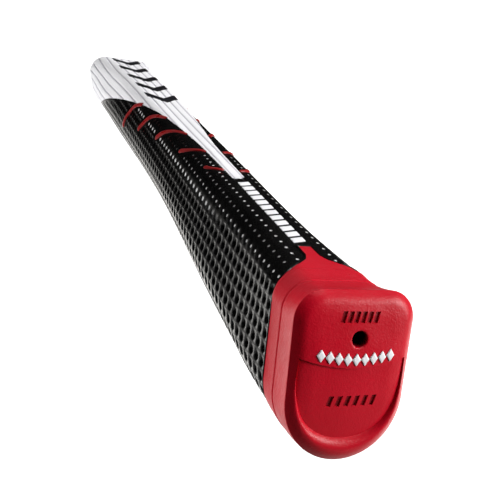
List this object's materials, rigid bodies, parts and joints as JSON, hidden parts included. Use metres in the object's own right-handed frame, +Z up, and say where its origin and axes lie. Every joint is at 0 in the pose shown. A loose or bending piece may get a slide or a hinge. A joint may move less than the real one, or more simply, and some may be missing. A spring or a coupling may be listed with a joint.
{
  "type": "putter grip",
  "caption": "Pistol putter grip with a foam core, a two-colour pitted wrap, a red butt cap with a vent and a round shaft bore.",
  "frame": {"origin": "centre of the shaft bore in the plane of the mouth", "axes": "+Z up the bore to the butt cap, -Y out of the thumb flat, +Y out of the heel, X across"},
  "size_m": [0.0334, 0.0447, 0.2884],
  "materials": {
    "core_foam": "matte moulded foam",
    "backing_felt": "thin felt",
    "black_wrap": "satin, pitted",
    "white_wrap": "matte, finely grooved",
    "mouth_ring": "matte",
    "red_cap": "satin moulded rubber",
    "red_accent": "satin",
    "white_mark": "matte print",
    "black_mark": "matte print",
    "cap_mark": "matte print"
  },
  "bodies": {
    "root": {"core": "core_foam", "backing": "backing_felt", "black_wrap": "black_wrap", "white_wrap": "white_wrap", "mouth_ring": "mouth_ring", "butt_cap": "red_cap", "accent_ribs": "red_accent", "flat_bars": "white_mark", "mouth_chevrons": "black_mark", "cap_lozenges": "cap_mark"}
  },
  "joints": []
}
